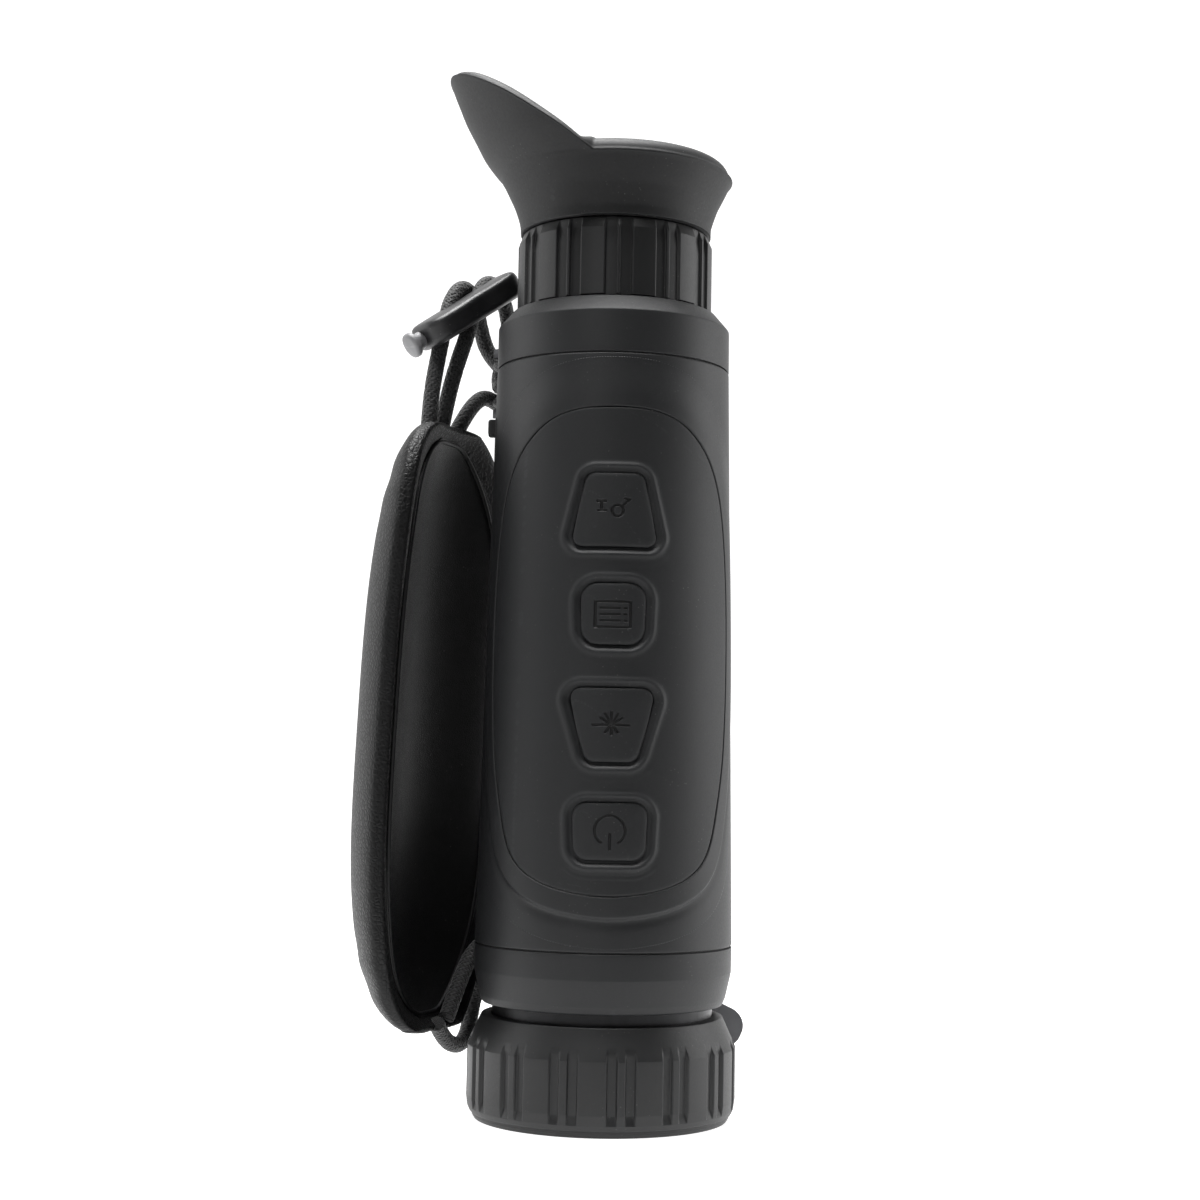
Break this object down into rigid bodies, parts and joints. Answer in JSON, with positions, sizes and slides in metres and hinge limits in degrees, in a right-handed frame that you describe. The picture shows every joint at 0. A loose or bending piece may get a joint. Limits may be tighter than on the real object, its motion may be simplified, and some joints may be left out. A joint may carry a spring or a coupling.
{
  "type": "rangefinder monocular",
  "caption": "Handheld rangefinder monocular with focus and diopter rings, a four-key keypad, winged eyecup, padded hand strap with cord lock and a tethered lens cap.",
  "frame": {"origin": "centre of the focus ring's front face on the optical axis", "axes": "+Z from the objective to the eyepiece, -Y the keypad side, -X the hand strap side"},
  "size_m": [0.0883, 0.0654, 0.2241],
  "materials": {
    "shell": "soft-touch matt",
    "keypad": "matt silicone",
    "grip": "fine matt",
    "cup_rubber": "matt",
    "leatherette": "fine grain",
    "cord": "braided",
    "lock_plastic": "satin",
    "plunger_plastic": "satin",
    "cap_rubber": "matt",
    "anodised": "black anodised",
    "alloy": "die cast",
    "steel": "satin",
    "black_steel": "blackened",
    "brass": "satin",
    "lens_glass": "coated",
    "board": "solder mask",
    "chip": "moulded",
    "cell": "shrink sleeve",
    "seal": "matt"
  },
  "bodies": {
    "housing": {"battery_cell": "cell", "battery_cradle": "grip", "board_spacers": "brass", "body_shell": "shell", "cap_hanger": "black_steel", "chassis": "alloy", "display_board": "board", "eyepiece_barrel": "anodised", "front_cap": "shell", "housing_seals": "seal", "image_sensor": "chip", "inner_screws": "steel", "key_board": "board", "key_switches": "steel", "keypad_membrane": "keypad", "laser_emitter": "brass", "laser_receiver": "steel", "lower_strap_lug": "black_steel", "lug_screws": "black_steel", "main_board": "board", "micro_display": "chip", "objective_barrel": "anodised", "port_cover_pin": "black_steel", "port_frame": "grip", "prism_holder": "anodised", "processor_shield": "steel", "rear_cap": "shell", "ring_keeper": "anodised", "sensor_board": "board", "splitter_prism": "lens_glass", "tripod_bush": "brass", "upper_strap_lug": "black_steel", "usb_socket": "steel"},
    "focus_ring": {"focus_ring": "grip"},
    "focus_cell": {"focus_cell": "anodised", "focus_pins": "steel", "objective_lens": "lens_glass", "lens_retainer": "anodised", "rear_objective_lens": "lens_glass"},
    "diopter_ring": {"diopter_ring": "grip"},
    "ocular_cell": {"ocular_cell": "anodised", "ocular_pins": "steel", "eye_lens": "lens_glass", "field_lens": "lens_glass"},
    "eyecup": {"eyecup": "cup_rubber"},
    "zoom_key": {"zoom_key": "keypad"},
    "menu_key": {"menu_key": "keypad"},
    "laser_key": {"laser_key": "keypad"},
    "power_key": {"power_key": "keypad"},
    "port_cover": {"port_cover": "cup_rubber"},
    "hand_strap": {"strap_cushion": "leatherette", "front_cord": "cord", "middle_cord": "cord", "return_cord": "cord", "lower_cord": "cord", "diagonal_cord": "cord", "leash_string": "cord", "cord_lock_body": "lock_plastic"},
    "cord_lock_plunger": {"cord_lock_plunger": "plunger_plastic"},
    "lens_cap": {"lens_cap": "cap_rubber"}
  },
  "joints": [
    {"name": "focus_turn", "type": "hinge", "parent": "housing", "child": "focus_ring", "pos_m": [0, 0, 0.0109], "axis": [0, 0, 1], "range_deg": [-60, 60]},
    {"name": "focus_travel", "type": "slide", "parent": "housing", "child": "focus_cell", "axis": [0, 0, 1], "range_m": [-0.0015, 0.0015]},
    {"name": "diopter_turn", "type": "hinge", "parent": "housing", "child": "diopter_ring", "pos_m": [0, 0, 0.182], "axis": [0, 0, 1], "range_deg": [-80, 80]},
    {"name": "diopter_travel", "type": "slide", "parent": "housing", "child": "ocular_cell", "axis": [0, 0, 1], "range_m": [-0.0012, 0.0012]},
    {"name": "eyecup_turn", "type": "hinge", "parent": "housing", "child": "eyecup", "pos_m": [0, 0, 0.192], "axis": [0, 0, 1], "continuous": true},
    {"name": "zoom_key_press", "type": "slide", "parent": "housing", "child": "zoom_key", "axis": [0, 1, 0], "range_m": [0, 0.0008], "stiffness_N_per_m": 2500},
    {"name": "menu_key_press", "type": "slide", "parent": "housing", "child": "menu_key", "axis": [0, 1, 0], "range_m": [0, 0.0008], "stiffness_N_per_m": 2500},
    {"name": "laser_key_press", "type": "slide", "parent": "housing", "child": "laser_key", "axis": [0, 1, 0], "range_m": [0, 0.0008], "stiffness_N_per_m": 2500},
    {"name": "power_key_press", "type": "slide", "parent": "housing", "child": "power_key", "axis": [0, 1, 0], "range_m": [0, 0.0008], "stiffness_N_per_m": 2500},
    {"name": "port_cover_open", "type": "hinge", "parent": "housing", "child": "port_cover", "pos_m": [-0.02459, 0, 0.1393], "axis": [0, -1, 0], "range_deg": [0, 70]},
    {"name": "strap_swing", "type": "hinge", "parent": "housing", "child": "hand_strap", "pos_m": [-0.02298, 0.02298, 0.0968], "axis": [0, 0, 1], "range_deg": [-6, 12]},
    {"name": "cord_lock_press", "type": "slide", "parent": "hand_strap", "child": "cord_lock_plunger", "axis": [0.7245, 0.384, 0.5724], "range_m": [0, 0.0015], "stiffness_N_per_m": 500},
    {"name": "lens_cap_swing", "type": "hinge", "parent": "housing", "child": "lens_cap", "pos_m": [0.0015, 0.0316, 0.059], "axis": [1, 0, 0], "range_deg": [0, 85]}
  ],
  "couplings": [
    {"joint": "focus_travel", "follows": "focus_turn", "m_per_rad": -0.0014324},
    {"joint": "diopter_travel", "follows": "diopter_turn", "m_per_rad": -0.00085944}
  ]
}
